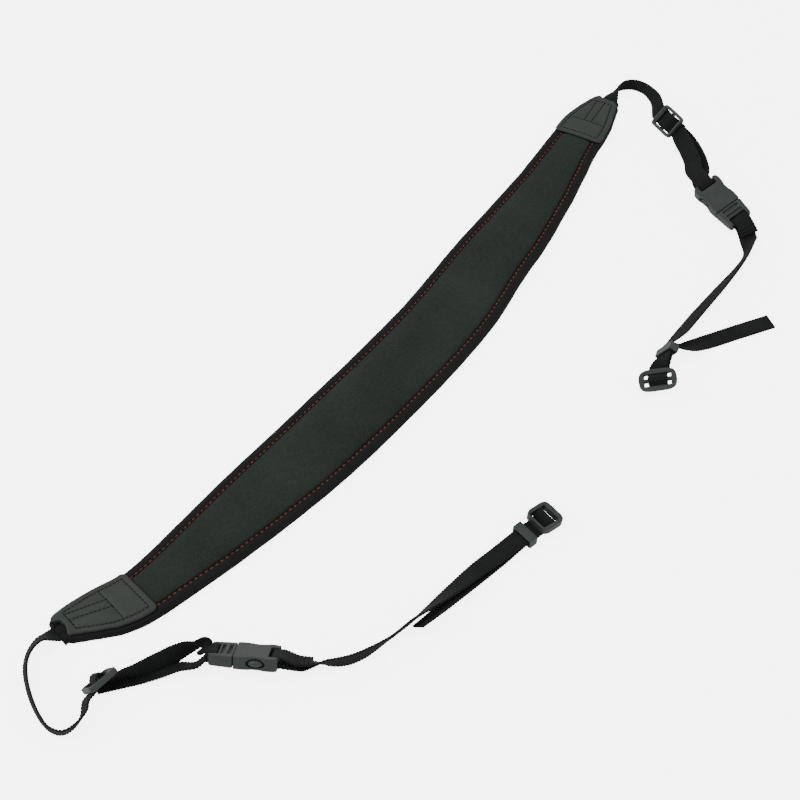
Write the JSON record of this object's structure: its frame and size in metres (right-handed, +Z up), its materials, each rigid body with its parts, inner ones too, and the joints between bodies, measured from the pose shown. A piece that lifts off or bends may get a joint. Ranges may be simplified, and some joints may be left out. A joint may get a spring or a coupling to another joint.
{
  "type": "camera neck strap",
  "caption": "Camera neck strap lying open: padded curved neck section with leather end caps, narrow webbing, fastened side-release buckles, strap adjusters and end sliders.",
  "frame": {"origin": "middle of the neck pad's flat underside, on the surface it rests on", "axes": "+X along the neck pad from its near end to its far end, +Y across the pad, +Z up"},
  "size_m": [0.5404, 0.1852, 0.0163],
  "materials": {
    "neoprene": "matt black neoprene foam with a smooth skin",
    "woven_panel": "fine dark green-grey woven cloth",
    "leather": "grey-green leather with a fine grain",
    "webbing": "near-black nylon webbing with crosswise ribs",
    "hard_plastic": "dark grey satin acetal"
  },
  "bodies": {
    "root": {"pad_body": "neoprene", "pad_panel": "woven_panel", "end_cap_near": "leather", "end_cap_far": "leather", "adjuster_webbing_far": "webbing", "adjuster_webbing_near": "webbing", "camera_webbing_far": "webbing", "camera_webbing_near": "webbing", "tri_glide_near": "hard_plastic", "tri_glide_far": "hard_plastic", "buckle_female_near": "hard_plastic", "buckle_female_far": "hard_plastic", "buckle_male_near": "hard_plastic", "buckle_male_far": "hard_plastic", "keeper_near": "hard_plastic", "keeper_far": "hard_plastic", "slider_near": "hard_plastic", "slider_far": "hard_plastic"}
  },
  "joints": []
}
